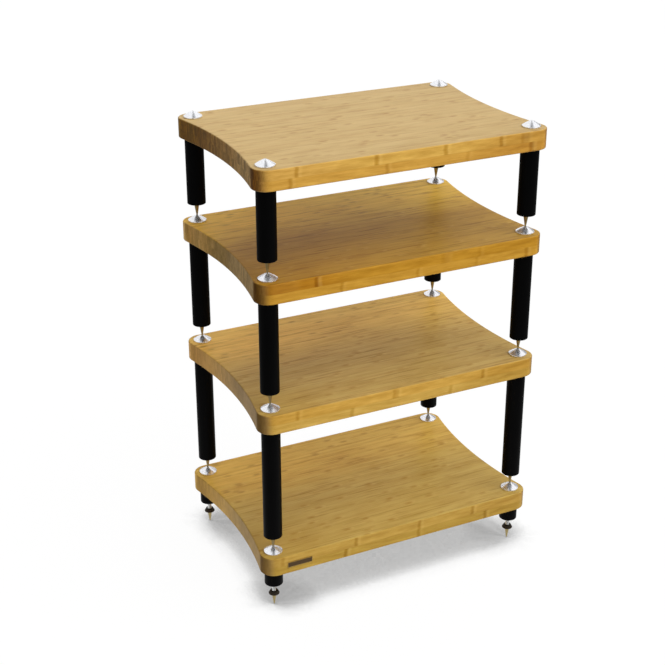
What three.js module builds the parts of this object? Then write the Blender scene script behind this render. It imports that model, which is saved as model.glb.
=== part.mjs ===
// A modular audio equipment rack: four bamboo shelves carried on black legs. Each leg ends in a brass spike
// that stands in the dimple of a turned aluminium disc on the shelf below. Millimetres, +Z up, the front
// facing -Y, the origin on the floor under the middle of the rack.
import * as THREE from 'three';

// Shelves
const shelfWidth = 596;
const shelfDepth = 400;
const shelfThickness = 39;
const sideSweep = 18;
const cornerRadius = 28;
const edgeRound = 2.5;

// Legs, from the side and front edges of the shelf to their axes, and their lengths from the bottom up
const legSideInset = 28;
const legFrontInset = 30;
const legDiameter = 36.2;
const legLengths = { lower: 233, middle: 183, top: 133 };
const legWall = 2.5;
const legPlugLength = 26;
const legEndRound = 1;

// Foot sleeves under the base shelf, and how much of them the stud above and the spike below reach into
const sleeveLength = 31.8;
const sleeveStudShare = 0.29;
const sleeveSpikeShare = 0.35;

// Spike discs, each with its stud
const discDiameter = 36;
const discHeight = 11;
const discRimHeight = 2.2;
const discCrown = 0.4;
const dimpleMouthRadius = 2.4;
const dimpleDepth = 1.5;
const threadDiameter = 8;
const studGripInLeg = 20;

// Spikes, the same cone under the legs and on the floor
const coneLength = 24;
const coneDiameter = 9.6;
const coneShoulder = 1.8;
const tipDiameter = 2.4;
const legSpikeGap = 2.1;
const spikeGripInLeg = 15;

// Knurled collars on the floor spikes, and the bare thread above them
const collarHeight = 7.6;
const collarTopDiameter = 15;
const collarBottomDiameter = 21.6;
const collarRound = 1.5;
const collarFluteDepth = 0.6;
const bareFloorThread = 18.6;

// Blank badge plate on the front edge of the base shelf, halfway up the edge
const badgeWidth = 52;
const badgeHeight = 11;
const badgeThickness = 1.2;
const badgeCorner = 1;
const badgeFromLeftEdge = 45;

// Clearances where one piece seats on another, round a thread in its bore and round a tip in its dimple
const seatGap = 0.3;
const threadClearance = 0.5;
const dimpleClearance = 0.6;

// Margin of the clear field between the discs
const fieldMargin = 5;

// Counts of steps along the curves
const sideArcSteps = 6;
const cornerSteps = 6;
const edgeSteps = 2;
const boreSides = 12;
const legSides = 20;
const discSides = 20;
const crownSteps = 2;
const spikeSides = 12;
const collarSides = 24;
const badgeCornerSteps = 3;

// Finishes
const bamboo = { color: 0xc9a05c, roughness: 0.42, metalness: 0 };
const blackSatin = { color: 0x0b0b0c, roughness: 0.38, metalness: 0.2 };
const turnedAluminium = { color: 0xd6d8dc, roughness: 0.22, metalness: 1 };
const brass = { color: 0xb98b4a, roughness: 0.3, metalness: 1 };
const darkCollar = { color: 0x17120d, roughness: 0.5, metalness: 0.4 };
const badgeBlack = { color: 0x26221f, roughness: 0.4, metalness: 0.3 };

// Places worked out from the sizes above
const legRadius = legDiameter / 2;
const threadRadius = threadDiameter / 2;
const boreRadius = threadRadius + threadClearance;
const discRadius = discDiameter / 2;
const coneRadius = coneDiameter / 2;
const tipRadius = tipDiameter / 2;
const legX = shelfWidth / 2 - legSideInset;
const legY = shelfDepth / 2 - legFrontInset;
const corners = [
  { name: 'front_left', x: -legX, y: -legY },
  { name: 'front_right', x: legX, y: -legY },
  { name: 'back_left', x: -legX, y: legY },
  { name: 'back_right', x: legX, y: legY },
];

const rack = new THREE.Group();

function addPiece(parent, name, geometry, finish, x, y, z) {
  const piece = new THREE.Mesh(geometry, new THREE.MeshStandardMaterial(finish));
  piece.name = name;
  piece.position.set(x, y, z);
  parent.add(piece);
}

// A solid of revolution about Z. The profile runs from the bottom outwards and up, as [radius, height].
function turned(profile, sides) {
  const points = profile.map(([radius, height]) => new THREE.Vector2(radius, height));
  const geometry = new THREE.LatheGeometry(points, sides);
  geometry.rotateX(Math.PI / 2);
  return geometry;
}

// Quarter circle of a given radius, as [share of the radius outwards, share of the radius upwards].
function quarterShares(steps) {
  const shares = [];
  for (let i = 0; i <= steps; i += 1) {
    const angle = (i / steps) * (Math.PI / 2);
    shares.push([Math.sin(angle), 1 - Math.cos(angle)]);
  }
  return shares;
}

// The right back quarter of the shelf's outline, moved in by an inset: the hollow side arc from the middle
// of the side to the corner, then the corner's round.
function outlineQuarter(inset) {
  const filletCentreX = shelfWidth / 2 - cornerRadius;
  const filletCentreY = shelfDepth / 2 - cornerRadius;
  const offset = cornerRadius - sideSweep;
  const arcRadius = (filletCentreY ** 2 + offset ** 2 - cornerRadius ** 2) / (2 * sideSweep);
  const arcCentreX = filletCentreX + offset + arcRadius;
  const tangentAngle = Math.atan2(filletCentreY, arcCentreX - filletCentreX);
  const points = [];
  for (let i = 0; i <= sideArcSteps; i += 1) {
    const angle = (i / sideArcSteps) * tangentAngle;
    const x = arcCentreX - (arcRadius + inset) * Math.cos(angle);
    const y = (arcRadius + inset) * Math.sin(angle);
    points.push([x, y]);
  }
  for (let i = 1; i <= cornerSteps; i += 1) {
    const angle = -tangentAngle + (i / cornerSteps) * (Math.PI / 2 + tangentAngle);
    const x = filletCentreX + (cornerRadius - inset) * Math.cos(angle);
    const y = filletCentreY + (cornerRadius - inset) * Math.sin(angle);
    points.push([x, y]);
  }
  return points;
}

// The whole outline, anticlockwise from the middle of the right side.
function shelfOutline(inset) {
  const quarter = outlineQuarter(inset);
  const back = quarter.slice().reverse();
  const middle = quarter.length - 1;
  return [
    ...quarter,
    ...back.map(([x, y]) => [-x, y]),
    ...quarter.slice(1).map(([x, y]) => [-x, -y]),
    ...back.slice(0, middle).map(([x, y]) => [x, -y]),
  ];
}

function boreOutline(corner) {
  const points = [];
  for (let i = 0; i < boreSides; i += 1) {
    const angle = (i / boreSides) * 2 * Math.PI;
    const x = corner.x + boreRadius * Math.cos(angle);
    const y = corner.y + boreRadius * Math.sin(angle);
    points.push([x, y]);
  }
  return points;
}

// The shelf: rings of the outline stacked up through the rounded edges, a bore at each corner, and a plain
// rectangular field between the discs.
function shelfGeometry() {
  const positions = [];
  const triangles = [];
  const addRing = (outline, height) => {
    const first = positions.length / 3;
    outline.forEach(([x, y]) => positions.push(x, y, height));
    return outline.map((point, i) => first + i);
  };
  const addWall = (lower, upper) => {
    lower.forEach((start, i) => {
      const next = (i + 1) % lower.length;
      triangles.push(start, lower[next], upper[next], start, upper[next], upper[i]);
    });
  };
  const round = quarterShares(edgeSteps).map(([out, up]) => [edgeRound * (1 - out), edgeRound * up]);
  const levels = [
    ...round,
    ...round.slice().reverse().map(([inset, up]) => [inset, shelfThickness - up]),
  ];
  const rings = levels.map(([inset, height]) => addRing(shelfOutline(inset), height));
  for (let i = 1; i < rings.length; i += 1) {
    addWall(rings[i - 1], rings[i]);
  }
  const fieldX = legX - discRadius - fieldMargin;
  const fieldY = legY - discRadius - fieldMargin;
  const field = [[-fieldX, -fieldY], [fieldX, -fieldY], [fieldX, fieldY], [-fieldX, fieldY]];
  const bores = corners.map(boreOutline);
  const rim = shelfOutline(edgeRound);
  const toVectors = (outline) => outline.map(([x, y]) => new THREE.Vector2(x, y));
  const caps = THREE.ShapeUtils.triangulateShape(toVectors(rim), [field, ...bores].map(toVectors));
  const addCap = (ring, height, facesUp) => {
    const fieldRing = addRing(field, height);
    const boreRings = bores.map((bore) => addRing(bore, height));
    const index = [...ring, ...fieldRing, ...boreRings.flat()];
    const [a, b, c, d] = fieldRing;
    const faces = [...caps.map((face) => face.map((i) => index[i])), [a, b, c], [a, c, d]];
    faces.forEach(([p, q, r]) => triangles.push(...(facesUp ? [p, q, r] : [p, r, q])));
    return boreRings;
  };
  const lowerBores = addCap(rings[0], 0, false);
  const upperBores = addCap(rings[rings.length - 1], shelfThickness, true);
  lowerBores.forEach((bore, i) => addWall(upperBores[i], bore));
  const geometry = new THREE.BufferGeometry();
  geometry.setAttribute('position', new THREE.Float32BufferAttribute(positions, 3));
  geometry.setIndex(triangles);
  geometry.computeVertexNormals();
  return geometry;
}

// A leg: a tube with a thick plug at each end, each plug bored for a thread, and the bottom edge rounded.
function legGeometry(length) {
  const innerRadius = legRadius - legWall;
  return turned([
    [boreRadius, 0],
    [legRadius - legEndRound, 0],
    [legRadius, legEndRound],
    [legRadius, length],
    [boreRadius, length],
    [boreRadius, length - legPlugLength],
    [innerRadius, length - legPlugLength],
    [innerRadius, legPlugLength],
    [boreRadius, legPlugLength],
    [boreRadius, 0],
  ], legSides);
}

// A foot sleeve: a short thick tube, bored right through, with its bottom edge rounded.
function sleeveGeometry() {
  return turned([
    [boreRadius, 0],
    [legRadius - legEndRound, 0],
    [legRadius, legEndRound],
    [legRadius, sleeveLength],
    [boreRadius, sleeveLength],
    [boreRadius, 0],
  ], legSides);
}

// A spike disc, its underside at height 0: a rim, a crowned cone with a dimple, and the stud below it.
function discGeometry(studGrip) {
  const studLength = seatGap + shelfThickness + seatGap + studGrip;
  const crown = [];
  for (let i = 0; i <= crownSteps; i += 1) {
    const share = i / crownSteps;
    const radius = discRadius + (dimpleMouthRadius - discRadius) * share;
    const height = discRimHeight + (discHeight - discRimHeight) * share;
    crown.push([radius, height + discCrown * Math.sin(Math.PI * share)]);
  }
  return turned([
    [0, -studLength],
    [threadRadius, -studLength],
    [threadRadius, 0],
    [discRadius, 0],
    ...crown,
    [tipRadius + dimpleClearance, discHeight - dimpleDepth],
    [0, discHeight - dimpleDepth],
  ], discSides);
}

// A spike standing on its tip at height 0: a cone with a short shoulder, then the threaded shank.
function spikeGeometry(shankLength) {
  return turned([
    [0, 0],
    [tipRadius, 0],
    [coneRadius, coneLength - coneShoulder],
    [coneRadius, coneLength],
    [threadRadius, coneLength],
    [threadRadius, coneLength + shankLength],
    [0, coneLength + shankLength],
  ], spikeSides);
}

// A floor spike's collar: a flared ring with flutes for the fingers.
function collarGeometry() {
  const bottomRadius = collarBottomDiameter / 2;
  const geometry = turned([
    [boreRadius, 0],
    [bottomRadius - collarRound, 0],
    [bottomRadius, collarRound],
    [collarTopDiameter / 2, collarHeight],
    [boreRadius, collarHeight],
    [boreRadius, 0],
  ], collarSides);
  const place = geometry.attributes.position;
  for (let i = 0; i < place.count; i += 1) {
    const x = place.getX(i);
    const y = place.getY(i);
    const radius = Math.hypot(x, y);
    const step = Math.round((Math.atan2(y, x) / (2 * Math.PI)) * collarSides);
    const isFlute = Math.abs(step % 2) === 1;
    const isOuter = radius > (boreRadius + collarTopDiameter / 2) / 2;
    if (isFlute && isOuter) {
      const share = (radius - collarFluteDepth) / radius;
      place.setXY(i, x * share, y * share);
    }
  }
  return geometry;
}

// The badge plate, standing on its lower edge with its back in the XZ plane and its face towards -Y.
function badgeGeometry() {
  const centreX = badgeWidth / 2 - badgeCorner;
  const centreZ = badgeHeight / 2 - badgeCorner;
  const shape = new THREE.Shape();
  shape.absarc(centreX, centreZ, badgeCorner, 0, Math.PI / 2);
  shape.absarc(-centreX, centreZ, badgeCorner, Math.PI / 2, Math.PI);
  shape.absarc(-centreX, -centreZ, badgeCorner, Math.PI, 1.5 * Math.PI);
  shape.absarc(centreX, -centreZ, badgeCorner, 1.5 * Math.PI, 2 * Math.PI);
  const options = { depth: badgeThickness, bevelEnabled: false, curveSegments: badgeCornerSteps };
  const geometry = new THREE.ExtrudeGeometry(shape, options);
  geometry.rotateX(Math.PI / 2);
  return geometry;
}

// The discs on a shelf whose top is at a given height.
function addDiscs(level, shelfTop, studGrip) {
  corners.forEach((corner) => {
    const name = `${level}_disc_${corner.name}`;
    addPiece(rack, name, discGeometry(studGrip), turnedAluminium, corner.x, corner.y, shelfTop + seatGap);
  });
}

// The base module: floor spikes, collars, sleeves, shelf, discs and badge. Gives the height of its top.
function addBaseModule() {
  const collarBottom = coneLength + seatGap;
  const sleeveBottom = collarBottom + collarHeight + bareFloorThread;
  const shelfBottom = sleeveBottom + sleeveLength + seatGap;
  const shankLength = sleeveBottom - coneLength + sleeveLength * sleeveSpikeShare;
  corners.forEach((corner) => {
    const { x, y } = corner;
    addPiece(rack, `foot_spike_${corner.name}`, spikeGeometry(shankLength), brass, x, y, 0);
    addPiece(rack, `foot_collar_${corner.name}`, collarGeometry(), darkCollar, x, y, collarBottom);
    addPiece(rack, `foot_sleeve_${corner.name}`, sleeveGeometry(), blackSatin, x, y, sleeveBottom);
  });
  addPiece(rack, 'base_shelf', shelfGeometry(), bamboo, 0, 0, shelfBottom);
  const badgeX = -shelfWidth / 2 + badgeFromLeftEdge + badgeWidth / 2;
  const badgeY = -shelfDepth / 2 - seatGap;
  const badgeZ = shelfBottom + shelfThickness / 2;
  addPiece(rack, 'badge_plate', badgeGeometry(), badgeBlack, badgeX, badgeY, badgeZ);
  const shelfTop = shelfBottom + shelfThickness;
  addDiscs('base', shelfTop, sleeveLength * sleeveStudShare);
  return shelfTop;
}

// An upper module, standing with its spikes in the dimples of the shelf below. Gives the height of its top.
function addUpperModule(level, topBelow) {
  const tip = topBelow + seatGap + discHeight - dimpleDepth + seatGap;
  const legBottom = tip + coneLength + legSpikeGap;
  const legLength = legLengths[level];
  const shelfBottom = legBottom + legLength + seatGap;
  const shankLength = legSpikeGap + spikeGripInLeg;
  corners.forEach((corner) => {
    const { x, y } = corner;
    addPiece(rack, `${level}_spike_${corner.name}`, spikeGeometry(shankLength), brass, x, y, tip);
    addPiece(rack, `${level}_leg_${corner.name}`, legGeometry(legLength), blackSatin, x, y, legBottom);
  });
  addPiece(rack, `${level}_shelf`, shelfGeometry(), bamboo, 0, 0, shelfBottom);
  const shelfTop = shelfBottom + shelfThickness;
  addDiscs(level, shelfTop, studGripInLeg);
  return shelfTop;
}

let shelfTop = addBaseModule();
Object.keys(legLengths).forEach((level) => {
  shelfTop = addUpperModule(level, shelfTop);
});

export default rack;
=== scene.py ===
"""Looks of a modular audio equipment rack: four bamboo shelves on black legs, with brass spikes that
stand in turned aluminium discs. Lengths at the top are millimetres, but the floor's are metres, as the
scene is."""

import math

import bpy
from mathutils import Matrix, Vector
from mathutils.geometry import tessellate_polygon


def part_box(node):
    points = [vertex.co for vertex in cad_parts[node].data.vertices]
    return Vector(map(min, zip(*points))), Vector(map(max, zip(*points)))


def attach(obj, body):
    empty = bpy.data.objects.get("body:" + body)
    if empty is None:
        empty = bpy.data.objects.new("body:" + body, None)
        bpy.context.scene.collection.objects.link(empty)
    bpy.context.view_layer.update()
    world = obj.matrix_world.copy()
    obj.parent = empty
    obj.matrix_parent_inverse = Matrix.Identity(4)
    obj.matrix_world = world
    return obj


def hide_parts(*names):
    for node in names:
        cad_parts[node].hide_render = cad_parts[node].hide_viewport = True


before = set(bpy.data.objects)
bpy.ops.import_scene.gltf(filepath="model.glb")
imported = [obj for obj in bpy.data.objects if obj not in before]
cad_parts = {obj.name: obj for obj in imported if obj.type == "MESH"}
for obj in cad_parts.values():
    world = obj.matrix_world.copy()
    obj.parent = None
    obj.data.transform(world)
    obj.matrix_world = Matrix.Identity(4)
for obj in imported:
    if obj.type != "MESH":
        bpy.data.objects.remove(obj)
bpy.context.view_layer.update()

MM = 0.001

# Camera
CAMERA_PLACE = (-1169.44, -2244.98, 1609.70)
CAMERA_TILT = 65.597
CAMERA_TURN = -26.335
CAMERA_LENS = 74.87
SENSOR_WIDTH = 36.0
CAMERA_NEAR = 50.0
CAMERA_FAR = 100000.0

# Shelf boards
SIDE_SWEEP = 18.0
CORNER_RADIUS = 28.0
EDGE_ROUND = 2.5
BORE_RADIUS = 4.5
SIDE_STEPS = 40
CORNER_STEPS = 14
EDGE_STEPS = 6
BORE_SIDES = 32

# Distance from a rounded edge to the line that keeps the flat beside it flat, the least number of such
# distances in a run that has those lines, and the angle from which an edge is sharp
HOLD = 0.6
LEAST_HOLDS = 4
SHARP_ANGLE = 35.0

# Number of parts of a small edge, of which its first face takes one
EDGE_PARTS = 3

# Legs and foot sleeves
LEG_ROUND = 1.0
LEG_TOP_ROUND = 0.5
LEG_WALL = 2.5
LEG_PLUG = 26.0
LEG_SIDES = 96
ROUND_STEPS = 6
LEG_TOP_STEPS = 2

# Discs
DISC_HEIGHT = 11.0
DISC_RIM = 2.2
DISC_CROWN = 0.4
DISC_EDGE = 0.3
DISC_SHOULDER = 0.5
SHOULDER_RISE_SHARE = 0.45
DIMPLE_MOUTH = 2.4
DIMPLE_FLOOR = 1.8
DIMPLE_DEPTH = 1.5
DISC_SIDES = 96
CROWN_STEPS = 14

# Spikes
CONE_LENGTH = 24.0
CONE_SHOULDER = 1.8
CONE_EDGE = 0.35
TIP_RADIUS = 1.2
TIP_RISE_SHARE = 0.6
TIP_STEPS = 4
CONE_SIDES = 48

# Threads
THREAD_RADIUS = 4.0
THREAD_ROOT = 3.35
THREAD_PITCH = 1.25
THREAD_ROWS = 6
THREAD_SIDES = 24
THREAD_CREST_SHARE = 0.25

# Collars
COLLAR_TOP = 7.5
COLLAR_BOTTOM = 10.8
COLLAR_ROUND = 1.5
COLLAR_LIP = 1.0
COLLAR_EDGE = 0.3
RIDGE_COUNT = 30
RIDGE_DEPTH = 0.6
RIDGE_POINTS = 6
RIDGE_POWER = 0.7

# Badge
BADGE_RIM = 0.9
BADGE_RECESS = 0.35
BADGE_CORNER = 1.0
BADGE_LEAST_CORNER = 0.15
BADGE_EDGE = 0.25
BADGE_BLEND = 0.12
BADGE_CORNER_STEPS = 4

# Strips of the bamboo, and keys that give each layer, strip and cell its own random numbers
STRIP_WIDTH = 6.6
STRIP_STAGGER = 3.1
LAYER_KEY = 71.3
SECOND_KEY = 0.37
LANE_KEY = 7.3
CELL_KEY = 17.13
STRIP_KEY = 3.71
STRENGTH_KEY = 0.71

# How the noises of the bamboo are stretched along, across and up the board, for each millimetre
FIBRE_STRETCH = (0.018, 0.9, 0.9)
PORE_STRETCH = (0.060, 3.0, 3.0)
DRIFT_STRETCH = 0.011
PATCH_STRETCH = (0.012, 0.035, 0.035)
STREAK_STRETCH = (0.011, 0.30, 0.30)
BLOTCH_STRETCH = (0.016, 0.05, 0.11)
RAGGED_STRETCH = (0.05, 0.8, 0.8)
WAVER_STRETCH = (0.02, 0.0, 0.09)
END_STRETCH = (0.2, 0.7, 0.10)

# Which way a face looks: to an end, to the front or back, and to the front
ENDS_FADE = (0.25, 0.95)
BROAD_FADE = (0.35, 0.95)
FRONT_FADE = (-0.35, -0.95)

# Tops: tones, and shares of the dark tone from the strip and from each noise
LIGHT_TONES = ((0.700, 0.488, 0.176), (0.685, 0.458, 0.158))
DARK_TONES = ((0.535, 0.332, 0.084), (0.505, 0.298, 0.070))
STREAK_TONE = (0.260, 0.120, 0.020)
PLAIN_SHARE = 0.12
STRIP_SHARE = 0.34
DRIFT_SHARE = 1.2
PATCH_SHARE = 0.9
FIBRE_SHARE = 1.9
PORE_SHARE = 1.0
DARKER_FADE = (0.58, 0.74)
DARKER_SHARE = 0.9
STREAK_FADE = (0.50, 0.72)

# Parts of the tops, as the places between which they fade in, and for the back, which painted light makes
# # lighter, the least and full share
BACK_ASIDE = (60.0, -240.0, 0.6, 1.0)
BACK_REACH = (-40.0, 130.0)
NEAR_ASIDE = (-120.0, -230.0)
NEAR_REACH = (-60.0, -150.0)
FAR_ASIDE = (-160.0, 100.0)

# Front and back edges: shares of the noises, powers of green and blue, and where the ends fade in;
# # the right end is darkened with painted shade
EDGE_FIBRE_SHARE = -0.45
EDGE_PORE_SHARE = -0.22
EDGE_BLOTCH_SHARE = -0.80
GREEN_POWER = 1.3
BLUE_POWER = 2.2
RIGHT_REACH = (60.0, 230.0)
LEFT_REACH = (-90.0, -210.0)

# Knuckles along the strips, and the pale rings beside them
KNUCKLE_PITCH = 250.0
CELL_SPREAD = 10.0
PLACE_LEAST = 0.2
PLACE_SPREAD = 0.6
KNUCKLE_BOW = 9.0
RAGGED_REACH = 12.0
KNUCKLE_FADE = (13.0, 1.0)
RING_ASIDE = 11.0
RING_FADE = (8.0, 0.0)
STRENGTH_LEAST = 0.15
STRENGTH_SPREAD = 0.85
WAVER_REACH = 6.0
EDGE_RING_ASIDE = 6.5
MARK_SHARES = (0.58, 0.84)
RING_SHARE = 0.12
TOP_MARK_TONE = (0.310, 0.145, 0.014)
EDGE_MARK_TINT = (0.62, 0.50, 0.12)
RING_TONE = (0.780, 0.560, 0.180)

# Glue lines
LAYER_LINE_FADE = (0.5, 0.1)
LAYER_LINE_SHARE = 0.16
STRIP_LINE_FADE = (0.46, 0.5)
STRIP_LINE_SHARE = 0.10
LINE_TONE = (0.200, 0.100, 0.020)

# End grain with the reach of its painted light, and the rounded front corners beside it, darkened with
# # painted shade
END_GRAIN_TONES = ((0.430, 0.240, 0.062), (0.160, 0.072, 0.013))
END_DOTS_FADE = (0.36, 0.66)
END_TINT = 0.4
END_SHARE = 0.85
NEAR_STOPS = (-174.0, -160.0)
END_FAR_REACH = (90.0, 135.0)
CORNER_ASIDE = (0.30, 1.0)
CORNER_FORWARD = (-0.02, -0.30)
CORNER_REACH = (-166.0, -175.0)

# Roughness and relief of the boards
LEAST_ROUGHNESS = 0.38
FIBRE_ROUGHNESS = 0.10
END_ROUGHNESS = 0.22
GRAIN_RELIEF = 0.5
LINE_RELIEF = 2.0

# Metals and black: tones, and how their noises are stretched and shared out. The turn is a share of a full
# one, and lays the metal's sheen across its fine circles
BLACK_TONES = ((0.0010, 0.0010, 0.0011), (0.0019, 0.0018, 0.0019))
STEEL_TONES = ((0.86, 0.86, 0.85), (0.66, 0.66, 0.65))
COLLAR_TONES = ((0.008, 0.006, 0.003), (0.034, 0.023, 0.012))
FIELD_TONES = ((0.075, 0.046, 0.022), (0.125, 0.080, 0.042))
RIM_TONES = ((0.43, 0.29, 0.10), (0.30, 0.20, 0.07))
BLACK_STRETCH = (0.03, 0.03, 0.012)
UNEVEN_STRETCH = 2.2
BRUSHED_STRETCH = (0.15, 5.0, 5.0)
UNEVEN_SHARE = 0.7
METAL_SPREAD = 0.12
CLOUD_SHARE = 0.6
WIDE_PALE_SHARE = 0.5
ANISOTROPY_TURN = 0.25

# Floor, in metres: its size, the painted shade round the feet, and how it gives light back
FLOOR_SIZE = 16.0
FLOOR_DROP = 0.0005
SHADE_REACH = 0.100
SHADE_STARTS = 0.115
SHADE_FULL = 0.28
SHADE_DEPTH = 0.64
SHADE_LEAN = (-0.28, -0.24, 1.0)
SHADOW_SHARE = 0.04
MIDDLE_PLACE = (0.0, 0.0, 0.0)
POOL_INNER = 0.3
POOL_OUTER = 1.3
POOL_BOUNCE = 0.95
FAR_BOUNCE = 0.20
POOL_MIRROR = 0.90
FAR_MIRROR = 0.35
LEFT_PLACE = (-0.78, 0.24, 0.0)
LEFT_INNER = 0.25
LEFT_OUTER = 0.75
LEFT_BOUNCE = 0.9

# Studio light, and what the metal shows of the studio
WHITE = (1.0, 1.0, 1.0)
FILL_LEVEL = 0.07
KEY_DIRECTION = Vector((0.47, -0.68, 0.56)).normalized()
KEY_LEVEL = 3.1
BACK_DIRECTION = Vector((0.25, 0.88, 0.40)).normalized()
BACK_FOCUS = 6.0
BACK_LEVEL = 2.0
BAND_ASIDE = (0.887, -0.462, 0.0)
BAND_BEYOND = (0.462, 0.887, 0.0)
BAND_SHIFT = 0.06
BAND_HALF = 0.06
BAND_SOFT = 0.24
BAND_RISE = (0.25, 0.70)
BAND_LEVEL = 0.18
DIM_RIGHT = (0.55, 0.80)
DIM_LOW = (0.55, 0.30)
DIM_SHARE = 0.7

LEVELS = ("base", "lower", "middle", "top")
CORNERS = ("front_left", "front_right", "back_left", "back_right")


# Meshes


def quarter(steps):
    """Quarter circle of radius 1 as (out, up), from the foot of a rounded edge to its side."""
    angles = [i / steps * math.pi / 2 for i in range(steps + 1)]
    return [(math.sin(a), 1 - math.cos(a)) for a in angles]


def held(profile):
    """The profile with a point near both ends of each long run, so that flats stay flat beside rounds."""
    points = [profile[0]]
    for start, end in zip(profile, profile[1:]):
        run = math.dist(start, end)
        if run > LEAST_HOLDS * HOLD:
            for share in (HOLD / run, 1 - HOLD / run):
                radius = start[0] + (end[0] - start[0]) * share
                height = start[1] + (end[1] - start[1]) * share
                points.append((radius, height))
        points.append(end)
    return points


def make_piece(name, points, faces, finish):
    """A new object whose points are in millimetres round its own origin."""
    mesh = bpy.data.meshes.new(name)
    mesh.from_pydata([tuple(c * MM for c in p) for p in points], [], faces)
    mesh.validate()
    mesh.shade_smooth()
    mesh.set_sharp_from_angle(angle=math.radians(SHARP_ANGLE))
    mesh.materials.append(finish)
    piece = bpy.data.objects.new(name, mesh)
    bpy.context.scene.collection.objects.link(piece)
    return piece


def turned(name, profile, sides, finish, closed=False, shape=None):
    """A solid of revolution. The profile runs from the bottom outwards and up as (radius, height), and a
    closed one goes round a bore. Shape may change a radius with the height and the angle."""
    points = []
    rings = []
    for radius, height in profile:
        if radius == 0:
            points.append((0.0, 0.0, height))
            rings.append([len(points) - 1])
            continue
        ring = []
        for i in range(sides):
            angle = 2 * math.pi * i / sides
            out = shape(radius, height, angle) if shape else radius
            points.append((out * math.cos(angle), out * math.sin(angle), height))
            ring.append(len(points) - 1)
        rings.append(ring)
    if closed:
        rings.append(rings[0])
    faces = []
    for lower, upper in zip(rings, rings[1:]):
        for i in range(sides):
            j = (i + 1) % sides
            if len(lower) == 1:
                faces.append((lower[0], upper[j], upper[i]))
            elif len(upper) == 1:
                faces.append((lower[i], lower[j], upper[0]))
            else:
                faces.append((lower[i], lower[j], upper[j], upper[i]))
    return make_piece(name, points, faces, finish)


def settle(piece, node, body, foot=None):
    """Puts a piece where its node stands, and lets it stand for the node and ride on the body."""
    low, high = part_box(node)
    height = low.z if foot is None else foot
    piece.location = ((low.x + high.x) / 2, (low.y + high.y) / 2, height)
    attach(piece, body)
    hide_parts(node)


def side_quarter(width, depth, inset):
    """Outline of a board's right back quarter: the hollow side, then the corner's round."""
    centre_x = width / 2 - CORNER_RADIUS
    centre_y = depth / 2 - CORNER_RADIUS
    offset = CORNER_RADIUS - SIDE_SWEEP
    radius = (centre_y**2 + offset**2 - CORNER_RADIUS**2) / (2 * SIDE_SWEEP)
    arc_x = centre_x + offset + radius
    tangent = math.atan2(centre_y, arc_x - centre_x)
    points = []
    for i in range(SIDE_STEPS // 2 + 1):
        angle = i / (SIDE_STEPS // 2) * tangent
        points.append((arc_x - (radius + inset) * math.cos(angle), (radius + inset) * math.sin(angle)))
    for i in range(1, CORNER_STEPS + 1):
        angle = -tangent + i / CORNER_STEPS * (math.pi / 2 + tangent)
        x = centre_x + (CORNER_RADIUS - inset) * math.cos(angle)
        y = centre_y + (CORNER_RADIUS - inset) * math.sin(angle)
        points.append((x, y))
    return points


def board_outline(width, depth, inset):
    first = side_quarter(width, depth, inset)
    back = first[::-1]
    outline = first + [(-x, y) for x, y in back]
    outline += [(-x, -y) for x, y in first[1:]]
    outline += [(x, -y) for x, y in back[:-1]]
    return outline


def make_board(name, node, finish):
    """A shelf board with rounded edges and a bore at each corner, its origin under its middle."""
    low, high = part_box(node)
    width = (high.x - low.x) / MM
    depth = (high.y - low.y) / MM
    thick = (high.z - low.z) / MM
    levels = [(EDGE_ROUND * (1 - out), EDGE_ROUND * up) for out, up in quarter(EDGE_STEPS)]
    levels.insert(0, (EDGE_ROUND + HOLD, 0.0))
    levels.append((0.0, EDGE_ROUND + HOLD))
    levels += [(inset, thick - height) for inset, height in levels[::-1]]
    points = []
    rings = []
    for inset, height in levels:
        outline = board_outline(width, depth, inset)
        rings.append(list(range(len(points), len(points) + len(outline))))
        points += [(x, y, height) for x, y in outline]
    faces = []
    for lower, upper in zip(rings, rings[1:]):
        for i in range(len(lower)):
            j = (i + 1) % len(lower)
            faces.append((lower[i], lower[j], upper[j], upper[i]))
    bores = []
    for corner in CORNERS:
        x, y = AXES[corner]
        ring = []
        for height in (0.0, thick):
            ring.append(list(range(len(points), len(points) + BORE_SIDES)))
            for i in range(BORE_SIDES):
                angle = 2 * math.pi * i / BORE_SIDES
                out_x = BORE_RADIUS * math.cos(angle)
                out_y = BORE_RADIUS * math.sin(angle)
                points.append((x + out_x, y + out_y, height))
        bores.append(ring)
        for i in range(BORE_SIDES):
            j = (i + 1) % BORE_SIDES
            faces.append((ring[0][j], ring[0][i], ring[1][i], ring[1][j]))
    for side, rim in ((0, rings[0]), (1, rings[-1])):
        loops = [rim] + [bore[side] for bore in bores]
        flat = [index for loop in loops for index in loop]
        triangles = tessellate_polygon([[Vector(points[index]) for index in loop] for loop in loops])
        for triangle in triangles:
            a, b, c = [flat[t] for t in triangle]
            normal = (Vector(points[b]) - Vector(points[a])).cross(Vector(points[c]) - Vector(points[a]))
            if (normal.z > 0) != (side == 1):
                b, c = c, b
            faces.append((a, b, c))
    return make_piece(name, points, faces, finish)


# Materials


def colour(red, green, blue):
    return (red, green, blue, 1.0)


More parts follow.
